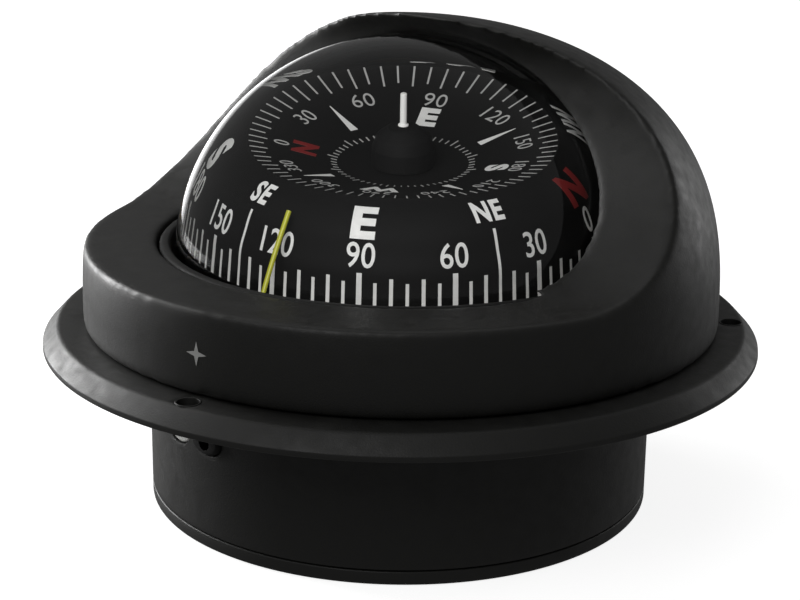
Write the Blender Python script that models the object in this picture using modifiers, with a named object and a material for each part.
"""Flush-mount ship compass: a hooded black housing over a liquid-filled bowl with a clear dome.

Inside the bowl a card turns on a needle, which a two-axis gimbal carries. Below the bowl are
an expansion diaphragm, two geared pairs of compensating magnets and a lamp.

Lengths below are in millimetres; MM turns them into metres. +Z is up, the origin is the centre
of the base, and -Y is the front, where the lubber line is. An azimuth is measured from the
front, positive towards +X.
"""

import math

import bmesh
import bpy
from mathutils import Euler, Matrix

MM = 0.001
GAP = 0.3
MERGE = 0.00001

BIG_STEPS = 36
MEDIUM_STEPS = 24
SMALL_STEPS = 10

# Mounting case: a flange on a barrel
FLANGE_R = 82.5
FLANGE_TOP_R = 79.0
FLANGE_BOTTOM = 37.5
FLANGE_TOP = 42.4
BARREL_R = 58.4
BARREL_INNER_R = 55.6
COVER_THICKNESS = 3.2
CASE_BOTTOM = COVER_THICKNESS + GAP
MOUNTING_HOLE_R = 2.75
MOUNTING_CIRCLE_R = 76.3
MOUNTING_AZIMUTHS = (5, 125, 245)
GASKET_GROOVE = (59.6, 63.9, 39.2)
BASE_SCREW_R = 51.3
BASE_SCREW_HOLE_R = 1.6

# Hood housing
WALL_R = 73.1
WALL_THICKNESS = 3.0
DECK_TOP = 60.8
HOOD_START = 46.4
HOOD_RISE = 64.4
HOOD_POWERS = (2.63, 2.17)
RIM_FRONT = -26.5
RIM_DEPTH = 41.5
RIM_MIDDLE = 98.5
RIM_UPPER_RISE = 20.6
HOUSING_SCREW_R = 67.6
CLAMP_SPACE_R = 64.4
CLAMP_SPACE_TOP = 56

# Bowl and dome, on one sphere centre
SPHERE_Z = 54.4
DOME_R = 52.4
DOME_INNER_R = 50.2
BOWL_INNER_R = 50.0
HOOD_CLEARANCE_R = 53.4
SEAL_R = 56.0
DOME_FLANGE_R = 58.6
DOME_FLANGE_BOTTOM = 47.5
DOME_FLANGE_TOP = 50.0
CLAMP_SCREW_R = 61.4
BOWL_BOTTOM = 20.0
NECK_R = (18.0, 22.0)
NECK_BOTTOM = 17.0
DIAPHRAGM_SCREW_R = 20.0
FILLER_PLACE = (29.0, 60)

# Gimbal and card
GIMBAL_Z = 47.0
PIN_R = 0.9
CRADLE_HALF_LENGTH = 38.8
CRADLE_HALF_WIDTH = 3.0
CRADLE_BOTTOM = 39.0
CARD_R = 35.6
CARD_FOOT = 54.7
CARD_RING_R = 26.6
CARD_RING_Z = 74.3
CARD_NORTH = 115.9

# Compensator
GEAR_TEETH = 14
GEAR_MODULE = 1.25
GEAR_SPACING = GEAR_TEETH * GEAR_MODULE + 0.4
GEAR_BOTTOM = 5.8
GEAR_THICKNESS = 2.8
GEAR_ROWS = (12.0, -12.0)
STUB_R = 2.8

# Side ports under the flange: azimuth, height, half width, half height
LAMP_PORT = (-17.5, 25.0, 5.4, 3.4)
CABLE_PORT = (-6.2, 25.2, 4.8, 3.2)
CABLE_R = 1.7
BULB_R = 1.6


def clear_scene():
    for obj in list(bpy.data.objects):
        bpy.data.objects.remove(obj, do_unlink=True)


def new_collection(name):
    collection = bpy.data.collections.new(name)
    bpy.context.scene.collection.children.link(collection)
    return collection


clear_scene()
PARTS = new_collection("ship_compass")
TOOLS = new_collection("cutters")


def finish(name, colour, roughness, metallic=0.0, alpha=1.0):
    material = bpy.data.materials.new(name)
    material.use_nodes = True
    shader = material.node_tree.nodes["Principled BSDF"]
    shader.inputs["Base Color"].default_value = (*colour, 1.0)
    shader.inputs["Roughness"].default_value = roughness
    shader.inputs["Metallic"].default_value = metallic
    shader.inputs["Alpha"].default_value = alpha
    return material


HOUSING_PLASTIC = finish("housing_plastic", (0.012, 0.012, 0.011), 0.55)
CASE_PLASTIC = finish("case_plastic", (0.013, 0.013, 0.012), 0.6)
RUBBER = finish("rubber", (0.01, 0.01, 0.01), 0.8)
CLEAR = finish("clear_plastic", (0.95, 0.97, 0.97), 0.03, alpha=0.3)
BOWL_PLASTIC = finish("bowl_plastic", (0.02, 0.02, 0.02), 0.45)
CARD_BLACK = finish("card_black", (0.008, 0.008, 0.008), 0.5)
LUBBER_YELLOW = finish("lubber_yellow", (0.55, 0.52, 0.02), 0.4)
WHITE_PLASTIC = finish("white_plastic", (0.85, 0.85, 0.83), 0.4)
BRASS = finish("brass", (0.7, 0.5, 0.2), 0.3, metallic=1.0)
STEEL = finish("stainless_steel", (0.55, 0.55, 0.54), 0.35, metallic=1.0)
MAGNET = finish("magnet_alloy", (0.22, 0.22, 0.23), 0.4, metallic=1.0)
JEWEL = finish("jewel", (0.45, 0.02, 0.05), 0.1)
GLASS = finish("lamp_glass", (0.8, 0.25, 0.1), 0.05, alpha=0.5)


def add(name, mesh, material=None):
    """An object for this mesh: a part if it has a material, otherwise a hidden tool."""
    obj = bpy.data.objects.new(name, mesh)
    if material is None:
        TOOLS.objects.link(obj)
        obj.hide_render = True
        obj.display_type = "WIRE"
    else:
        PARTS.objects.link(obj)
        mesh.materials.append(material)
    return obj


def move(obj, location=(0, 0, 0), rotation=(0, 0, 0)):
    obj.location = [value * MM for value in location]
    obj.rotation_euler = Euler([math.radians(angle) for angle in rotation])
    return obj


def turned(name, profile, material=None, steps=BIG_STEPS):
    """A profile of (radius, height) points, listed down its outer side, turned about Z."""
    edges = [(i, i + 1) for i in range(len(profile) - 1)]
    if profile[0][0] > 0:
        edges.append((len(profile) - 1, 0))
    mesh = bpy.data.meshes.new(name)
    mesh.from_pydata([(r * MM, 0, z * MM) for r, z in profile], edges, [])
    obj = add(name, mesh, material)
    screw = obj.modifiers.new("turn", "SCREW")
    screw.steps = steps
    screw.render_steps = steps
    screw.use_merge_vertices = True
    screw.merge_threshold = MERGE
    screw.use_smooth_shade = False
    return obj


def ring(outer, inner, top, bottom):
    return [(outer, top), (outer, bottom), (inner, bottom), (inner, top)]


def from_bmesh(name, form, material=None):
    mesh = bpy.data.meshes.new(name)
    form.to_mesh(mesh)
    form.free()
    return add(name, mesh, material)


def add_cylinder(form, radius, low, high, centre=(0, 0), steps=SMALL_STEPS):
    middle = (centre[0] * MM, centre[1] * MM, (low + high) / 2 * MM)
    bmesh.ops.create_cone(
        form,
        cap_ends=True,
        segments=steps,
        radius1=radius * MM,
        radius2=radius * MM,
        depth=(high - low) * MM,
        matrix=Matrix.Translation(middle),
    )


def cylinders(name, radius, low, high, centres, material=None, steps=SMALL_STEPS):
    """Upright cylinders of one size at several (x, y) places, as one object."""
    form = bmesh.new()
    for centre in centres:
        add_cylinder(form, radius, low, high, centre, steps)
    return from_bmesh(name, form, material)


def box(name, low, high, material=None):
    size = [(b - a) * MM for a, b in zip(low, high)]
    middle = [(a + b) / 2 * MM for a, b in zip(low, high)]
    form = bmesh.new()
    bmesh.ops.create_cube(form, size=1.0)
    bmesh.ops.transform(form, matrix=Matrix.Diagonal((*size, 1.0)), verts=form.verts)
    bmesh.ops.translate(form, vec=middle, verts=form.verts)
    return from_bmesh(name, form, material)


def slab(name, outline, thickness, material=None):
    """A flat (x, y) outline, made solid downwards from z = 0."""
    form = bmesh.new()
    form.faces.new([form.verts.new((x * MM, y * MM, 0)) for x, y in outline])
    obj = from_bmesh(name, form, material)
    solid = obj.modifiers.new("thickness", "SOLIDIFY")
    solid.thickness = thickness * MM
    solid.offset = -1
    return obj


def boolean(obj, other, operation="DIFFERENCE"):
    modifier = obj.modifiers.new(other.name, "BOOLEAN")
    modifier.operation = operation
    modifier.object = other


def polar(radius, azimuth):
    angle = math.radians(azimuth)
    return radius * math.sin(angle), -radius * math.cos(angle)


def polars(radius, count, start=0.0):
    return [polar(radius, start + 360 * i / count) for i in range(count)]


def arc(radius, start, end, points):
    """Points on the bowl's sphere, between two angles above its equator, in degrees."""
    angles = [math.radians(start + (end - start) * i / (points - 1)) for i in range(points)]
    found = [(radius * math.cos(a), SPHERE_Z + radius * math.sin(a)) for a in angles]
    return [(0.0, z) if abs(r) < 1e-6 else (r, z) for r, z in found]


def angle_at(radius, height):
    """The angle above the equator at which a sphere on the bowl's centre has this height."""
    return math.degrees(math.asin((height - SPHERE_Z) / radius))


def screws(name, centres, head_r, shank_r, head_z, shank_end, material):
    """Identical upright screws; head_z holds the head's outer and inner face."""
    outer, inner = head_z
    profile = [(0, outer), (head_r, outer), (head_r, inner)]
    profile += [(shank_r, inner), (shank_r, shank_end), (0, shank_end)]
    if shank_end > outer:
        profile = profile[::-1]
    for number, (x, y) in enumerate(centres, 1):
        move(turned(f"{name}_{number}", profile, material, SMALL_STEPS), (x, y, 0))


# Hood housing


def hood_profile(inset, bottom):
    """The hood's outer curve, from the top of the axis down to the wall's foot."""
    points = 11
    profile = []
    for i in range(points):
        angle = math.pi / 2 * (1 - i / (points - 1))
        radius = (WALL_R - inset) * max(math.cos(angle), 0) ** (2 / HOOD_POWERS[1])
        height = HOOD_START + (HOOD_RISE - inset) * max(math.sin(angle), 0) ** (2 / HOOD_POWERS[0])
        profile.append((radius if i else 0.0, height))
    return profile + [(WALL_R - inset, bottom), (0, bottom)]


def front_block(name, offset):
    """The space in front of the hood's rim and above the deck, in side view, across the width."""
    lower_rise = RIM_MIDDLE - DECK_TOP
    rim = []
    for rise, start, end, points in ((lower_rise, -90, 0, 9), (RIM_UPPER_RISE, 0, 90, 6)):
        for i in range(points):
            angle = math.radians(start + (end - start) * i / (points - 1))
            y = RIM_FRONT + (RIM_DEPTH + offset) * math.cos(angle)
            z = RIM_MIDDLE + (rise + offset) * math.sin(angle)
            if not rim or math.dist(rim[-1], (y, z)) > 0.01:
                rim.append((y, z))
    outline = [(-100, rim[0][1])] + rim + [(-100, rim[-1][1])]
    block = slab(name, outline, 200)
    # The outline's x runs along +Y, its y along +Z, and its thickness along X.
    block.matrix_world = Matrix(((0, 0, 1, 0.1), (1, 0, 0, 0), (0, 1, 0, 0), (0, 0, 0, 1)))
    return block


def hood_housing():
    housing = turned("hood_housing", hood_profile(0, FLANGE_TOP + GAP), HOUSING_PLASTIC)
    boolean(housing, front_block("hood_front_cut", 0))
    seal_top = DECK_TOP + GAP
    opening = arc(HOOD_CLEARANCE_R, 90, angle_at(HOOD_CLEARANCE_R, seal_top), 8)
    opening += [(SEAL_R, seal_top), (SEAL_R, 40), (0, 40)]
    boolean(housing, turned("dome_opening_cut", opening))
    cavity = turned("hood_cavity_cut", hood_profile(WALL_THICKNESS, 40))
    core_r = HOOD_CLEARANCE_R + WALL_THICKNESS
    skirt_r = SEAL_R + WALL_THICKNESS
    core = arc(core_r, 90, angle_at(core_r, 62), 8) + [(skirt_r, 62), (skirt_r, 39), (0, 39)]
    boolean(cavity, turned("hood_core_keep", core))
    boolean(cavity, front_block("hood_rim_keep", WALL_THICKNESS))
    boolean(housing, cavity)
    places = polars(HOUSING_SCREW_R, 4, 45)
    bosses = cylinders("hood_bosses", 3.0, FLANGE_TOP + GAP, 58.5, places, steps=12)
    boolean(housing, bosses, "UNION")
    space = cylinders("clamp_space_cut", CLAMP_SPACE_R, 39.5, CLAMP_SPACE_TOP, [(0, 0)], steps=BIG_STEPS)
    boolean(housing, space)
    boolean(housing, cylinders("hood_boss_holes", 1.5, 39.5, 54, places))
    head = (FLANGE_BOTTOM + 0.2, FLANGE_BOTTOM + 1.8)
    screws("housing_screw", places, 3.0, 1.2, head, 52, STEEL)


# Mounting case and base


def port_tool(name, port, grow, inner, outer, material=None):
    """An oval plug along a radius of the barrel."""
    azimuth, height, half_width, half_height = port
    form = bmesh.new()
    add_cylinder(form, 1 / MM, inner, outer, steps=16)
    size = Matrix.Diagonal(((half_height + grow) * MM, (half_width + grow) * MM, 1, 1))
    lay_down = Matrix.Rotation(math.radians(90), 4, "Y")
    outwards = Matrix.Rotation(math.radians(azimuth - 90), 4, "Z") @ lay_down
    bmesh.ops.transform(form, matrix=outwards @ size, verts=form.verts)
    bmesh.ops.translate(form, vec=(0, 0, height * MM), verts=form.verts)
    return from_bmesh(name, form, material)


def mounting_case():
    outside = [
        (FLANGE_TOP_R, FLANGE_TOP),
        (FLANGE_R - 0.5, FLANGE_BOTTOM + 1.2),
        (FLANGE_R, FLANGE_BOTTOM + 0.7),
        (FLANGE_R, FLANGE_BOTTOM),
    ]
    inner, outer, groove_top = GASKET_GROOVE
    groove = [(outer, FLANGE_BOTTOM), (outer, groove_top), (inner, groove_top), (inner, FLANGE_BOTTOM)]
    barrel = [(BARREL_R, FLANGE_BOTTOM), (BARREL_R, CASE_BOTTOM), (BARREL_INNER_R, CASE_BOTTOM)]
    profile = outside + groove + barrel + [(BARREL_INNER_R, FLANGE_TOP)]
    case = turned("mounting_case", profile, CASE_PLASTIC)
    base_places = polars(BASE_SCREW_R, 4, 45)
    boolean(case, cylinders("base_bosses", 4.5, CASE_BOTTOM, 16, base_places, steps=12), "UNION")
    boolean(case, cylinders("base_boss_holes", 1.5, 2, 15, base_places))
    mounting_places = [polar(MOUNTING_CIRCLE_R, azimuth) for azimuth in MOUNTING_AZIMUTHS]
    boolean(case, cylinders("mounting_holes", MOUNTING_HOLE_R, 30, 50, mounting_places, steps=16))
    housing_places = polars(HOUSING_SCREW_R, 4, 45)
    boolean(case, cylinders("housing_screw_holes", 1.6, 30, 50, housing_places))
    head_top = FLANGE_BOTTOM + 2.1
    boolean(case, cylinders("housing_head_holes", 3.3, 30, head_top, housing_places, steps=12))
    boolean(case, port_tool("lamp_port_cut", LAMP_PORT, 0, 52, 62))
    boolean(case, port_tool("cable_port_cut", CABLE_PORT, 0, 52, 62))
    gasket = ring(outer - GAP, inner + GAP, groove_top - GAP, FLANGE_BOTTOM)
    turned("flange_gasket", gasket, RUBBER)
    side_ports()


def side_ports():
    port_tool("lamp_holder", LAMP_PORT, -GAP, 54.6, 58.2, WHITE_PLASTIC)
    port_tool("lamp_bulb", (*LAMP_PORT[:2], BULB_R, BULB_R), 0, 50.4, 54.2, GLASS)
    gland = port_tool("cable_gland", CABLE_PORT, -GAP, 54.2, 59.3, RUBBER)
    boolean(gland, port_tool("gland_bore_cut", (*CABLE_PORT[:2], CABLE_R, CABLE_R), 0, 50, 62))


def base_cover():
    chamfer = 0.6
    profile = [(0, COVER_THICKNESS), (BARREL_R, COVER_THICKNESS)]
    profile += [(BARREL_R, chamfer), (BARREL_R - chamfer, 0), (0, 0)]
    cover = turned("base_cover", profile, CASE_PLASTIC)
    places = polars(BASE_SCREW_R, 4, 45)
    boolean(cover, cylinders("base_head_holes", 3.4, -1, 2.0, places, steps=12))
    boolean(cover, cylinders("base_screw_holes", BASE_SCREW_HOLE_R, 1, 5, places))
    stems = [(-GEAR_SPACING / 2, y) for y in GEAR_ROWS]
    boolean(cover, cylinders("adjuster_holes", 3.4, -1, 5, stems, steps=16))
    screws("base_screw", places, 3.1, 1.2, (0.2, 1.7), 14, STEEL)


# Bowl, dome and seals


def lower_bowl():
    tray_bottom, tray_floor = FLANGE_TOP + GAP, 45.7
    bowl_floor = BOWL_BOTTOM + 2.2
    outer = arc(DOME_R, angle_at(DOME_R, tray_bottom), angle_at(DOME_R, BOWL_BOTTOM), 5)
    start, end = (angle_at(BOWL_INNER_R, height) for height in (bowl_floor, tray_floor))
    neck_inner, neck_outer = NECK_R
    neck = [(neck_outer, BOWL_BOTTOM), (neck_outer, NECK_BOTTOM)]
    neck += [(neck_inner, NECK_BOTTOM), (neck_inner, bowl_floor)]
    tray = [(59.2, 49.8), (64, 49.8), (64, tray_bottom)]
    profile = tray + outer + neck + arc(BOWL_INNER_R, start, end, 5) + [(59.2, tray_floor)]
    bowl = turned("lower_bowl", profile, BOWL_PLASTIC)
    for name, side in (("front", -1), ("rear", 1)):
        low, high = sorted((side * 44.6, side * 49.4))
        boolean(bowl, box(f"gimbal_lug_{name}", (-3, low, 40), (3, high, 49)), "UNION")
    pin_space = cylinders("gimbal_pin_cut", PIN_R + GAP, -49.0, 49.0, [(0, 0)])
    boolean(bowl, move(pin_space, (0, 0, GIMBAL_Z), (90, 0, 0)))
    boolean(bowl, cylinders("clamp_screw_holes", 1.3, 44.5, 51, polars(CLAMP_SCREW_R, 6, 30)))
    boolean(bowl, cylinders("diaphragm_screw_holes", 1.0, 15, 20.5, polars(DIAPHRAGM_SCREW_R, 3)))
    boolean(bowl, cylinders("filler_hole", 4.0, 18, 24, [polar(*FILLER_PLACE)], steps=16))
    turned("bowl_gasket", ring(57.5, 52.0, 47.2, 46.0), RUBBER)
    filler_plug()
    diaphragm()


def filler_plug():
    x, y = polar(*FILLER_PLACE)
    plug = [(0, 22.6), (3.7, 22.6), (3.7, 18.6), (5.8, 18.6), (5.8, 16.3), (0, 16.3)]
    obj = move(turned("filler_plug", plug, BRASS, 12), (x, y, 0))
    boolean(obj, box("filler_slot_cut", (x - 8, y - 0.6, 15), (x + 8, y + 0.6, 17.2)))
    move(turned("filler_seal", ring(5.6, 4.0, 19.7, 18.9), RUBBER, 12), (x, y, 0))


def diaphragm():
    upper = [(0, 18.6), (9, 18.6), (12, 16.7), (21.8, 16.7)]
    lower = [(21.8, 15.5), (11.4, 15.5), (8.6, 17.4), (0, 17.4)]
    sheet = turned("expansion_diaphragm", upper + lower, RUBBER, MEDIUM_STEPS)
    cover = turned("diaphragm_cover", ring(22.4, 2.0, 15.2, 13.8), BOWL_PLASTIC, MEDIUM_STEPS)
    places = polars(DIAPHRAGM_SCREW_R, 3)
    holes = cylinders("diaphragm_holes", 1.0, 12, 17.5, places)
    boolean(sheet, holes)
    boolean(cover, holes)
    screws("diaphragm_screw", places, 1.7, 0.7, (12.6, 13.5), 20, STEEL)


def clear_dome():
    flange = [(DOME_R, DOME_FLANGE_TOP), (DOME_FLANGE_R, DOME_FLANGE_TOP)]
    flange += [(DOME_FLANGE_R, DOME_FLANGE_BOTTOM), (DOME_INNER_R, DOME_FLANGE_BOTTOM)]
    profile = arc(DOME_R, 90, 0, 10) + flange + arc(DOME_INNER_R, 0, 90, 9)
    turned("clear_dome", profile, CLEAR)
    turned("dome_trim_seal", ring(SEAL_R - GAP, 53.0, 60.3, 53.6), RUBBER)
    clamp = turned("clamp_ring", ring(63.8, 53.0, 53.2, 50.3), BOWL_PLASTIC)
    places = polars(CLAMP_SCREW_R, 6, 30)
    boolean(clamp, cylinders("clamp_ring_holes", 1.3, 49, 55, places))
    screws("clamp_screw", places, 2.1, 1.0, (55.2, 53.5), 45.4, STEEL)


def lubber():
    turned("lubber_ring", ring(49.2, 45.4, 51.0, 49.3), BOWL_PLASTIC)
    curve = bpy.data.curves.new("lubber_line", "CURVE")
    curve.dimensions = "3D"
    curve.bevel_depth = 0.55 * MM
    curve.bevel_resolution = 1
    curve.use_fill_caps = True
    spline = curve.splines.new("POLY")
    points = [(0, -46.4, 51.7), (0, -43.9, 56.5), (0, -39.1, 64.3), (0, -34.5, 71.9)]
    spline.points.add(len(points) - 1)
    for point, place in zip(spline.points, points):
        point.co = (*[value * MM for value in place], 1)
    obj = bpy.data.objects.new("lubber_line", curve)
    curve.materials.append(LUBBER_YELLOW)
    PARTS.objects.link(obj)


# Gimbal


def on_gimbal(obj, empty):
    obj.parent = empty
    obj.matrix_parent_inverse = empty.matrix_world.inverted()


def pivot(name, location):
    empty = bpy.data.objects.new(name, None)
    PARTS.objects.link(empty)
    move(empty, location)
    bpy.context.view_layer.update()
    return empty


def gimbal():
    roll_axis = pivot("roll_axis", (0, 0, GIMBAL_Z))
    pitch_axis = pivot("pitch_axis", (0, 0, GIMBAL_Z))
    frame = turned("gimbal_ring", ring(42.6, 39.2, 48.6, 45.4), BRASS)
    for turn in ((90, 0, 0), (0, 90, 0)):
        bore = cylinders(f"ring_bore_{turn[0]}", PIN_R + GAP, -50, 50, [(0, 0)])
        boolean(frame, move(bore, (0, 0, GIMBAL_Z), turn))
    on_gimbal(frame, roll_axis)
    for name, turn in (("front", 90), ("rear", -90)):
        pin = cylinders(f"roll_pin_{name}", PIN_R, 40.0, 48.6, [(0, 0)], STEEL)
        move(pin, (0, 0, GIMBAL_Z), (turn, 0, 0))
    for name, turn in (("right", 90), ("left", -90)):
        pin = cylinders(f"pitch_pin_{name}", PIN_R, 36.0, 42.2, [(0, 0)], STEEL)
        on_gimbal(move(pin, (0, 0, GIMBAL_Z), (0, turn, 0)), roll_axis)
    profile = [(0, 31.7), (11, 31.7), (12, 30.7), (12, 28), (10.5, 26.6), (0, 26.6)]
    weight = turned("ballast_weight", profile, BRASS, MEDIUM_STEPS)
    profile = [(0, 67.0), (0.8, 65.6), (0.8, 57.8), (0, 57.8)]
    needle = turned("pivot_needle", profile, STEEL, SMALL_STEPS)
    for obj in (cradle(), weight, needle):
        on_gimbal(obj, pitch_axis)


def cradle():
    """The bar and post that hang in the gimbal ring and carry the needle."""
    length, width, bottom = CRADLE_HALF_LENGTH, CRADLE_HALF_WIDTH, CRADLE_BOTTOM
    bar = box("gimbal_cradle", (-length, -width, bottom), (length, width, bottom + 2.4), BOWL_PLASTIC)
    for name, side in (("right", 1), ("left", -1)):
        low, high = sorted((side * (length - 3), side * length))
        arm = box(f"cradle_arm_{name}", (low, -width, bottom), (high, width, 49.4))
        boolean(bar, arm, "UNION")
    boolean(bar, cylinders("cradle_post", 2.6, 32, 62, [(0, 0)], steps=12), "UNION")
    bore = cylinders("cradle_bore", PIN_R + GAP, -45, 45, [(0, 0)])
    boolean(bar, move(bore, (0, 0, GIMBAL_Z), (0, 90, 0)))
    boolean(bar, cylinders("needle_bore", 1.1, 57.5, 63, [(0, 0)]))
    return bar


# Card


def compass_card():
    top = [(0, 70.8), (9, 70.8), (CARD_RING_R, CARD_RING_Z)]
    skirt = [(30.2, 72.2), (33.0, 69.1), (34.7, 65.5), (35.5, 61.9), (CARD_R, CARD_FOOT)]
    inner_skirt = [(34.4, CARD_FOOT), (34.3, 61.9), (33.5, 65.2), (31.9, 68.3), (29.3, 71.1)]
    inner_top = [(26.4, 72.9), (9, 69.5), (0, 69.5)]
    turned("compass_card", top + skirt + inner_skirt + inner_top, CARD_BLACK)
    turned("card_float", ring(22, 7, 68.9, 60.5), WHITE_PLASTIC, MEDIUM_STEPS)
    cup = [(0, 69.2), (2.4, 69.2), (2.4, 65.2), (1.9, 65.2), (0, 67.6)]
    turned("jewel_cup", cup, JEWEL, SMALL_STEPS)
    hub = [(0, 77.9), (2.4, 77.9), (4.3, 76.7), (5.2, 74.2), (5.2, 71.1), (0, 71.1)]
    turned("card_hub", hub, CARD_BLACK, 16)
    pin = [(0, 84.7), (0.5, 84.7), (0.5, 79.2), (1.1, 78.8), (1.1, 78.2), (0, 78.2)]
    turned("card_pin", pin, WHITE_PLASTIC, SMALL_STEPS)
    for number, side in ((1, 1), (2, -1)):
        low, high = sorted((side * 9, side * 13))
        magnet = box(f"card_magnet_{number}", (low, -20, 56), (high, 20, 60.2), MAGNET)
        move(magnet, rotation=(0, 0, CARD_NORTH))


# Compensator


def gear_outline(phase):
    """A spur gear's outline with thin straight-sided teeth, which leaves backlash."""
    pitch_r = GEAR_TEETH * GEAR_MODULE / 2
    corners = ((pitch_r - 1.5, 1.05), (pitch_r + 1.0, 0.42))
    outline = []
    for tooth in range(GEAR_TEETH):
        middle = 2 * math.pi * (tooth + phase) / GEAR_TEETH
        (root_r, root_half), (tip_r, tip_half) = corners
        rising = ((root_r, -root_half), (tip_r, -tip_half))
        falling = ((tip_r, tip_half), (root_r, root_half))
        for radius, half in rising + falling:
            angle = middle + half / radius
            outline.append((radius * math.cos(angle), radius * math.sin(angle)))
    return outline


def compensator():
    plate = box("compensator_plate", (-22, -24, CASE_BOTTOM + 0.1), (22, 24, 5.5), BOWL_PLASTIC)
    centres = [(side * GEAR_SPACING / 2, y) for y in GEAR_ROWS for side in (-1, 1)]
    boolean(plate, cylinders("gear_stub_holes", 3.2, 3, 7, centres, steps=16))
    names = ("fore_gear_driver", "fore_gear_follower", "side_gear_driver", "side_gear_follower")
    for index, (name, (x, y)) in enumerate(zip(names, centres)):
        driver = index % 2 == 0
        gear = slab(name, gear_outline(0 if driver else 0.5), GEAR_THICKNESS, BRASS)
        move(gear, (x, y, GEAR_BOTTOM + GEAR_THICKNESS))
        stub_end = 0.4 if driver else 3.8
        stub = cylinders(f"{name}_stub", STUB_R, stub_end, GEAR_BOTTOM + 1, [(x, y)], steps=12)
        boolean(gear, stub, "UNION")
        if driver:
            boolean(gear, box(f"{name}_slot", (x - 4, y - 0.5, -1), (x + 4, y + 0.5, 1.4)))
        long_x, long_y = (1.6, 6.5) if index < 2 else (6.5, 1.6)
        top = GEAR_BOTTOM + GEAR_THICKNESS + GAP
        low, high = (-long_x, -long_y, top), (long_x, long_y, top + 3.2)
        move(box(name.replace("gear", "magnet"), low, high, MAGNET), (x, y, 0))


mounting_case()
base_cover()
hood_housing()
lower_bowl()
clear_dome()
lubber()
gimbal()
compass_card()
compensator()
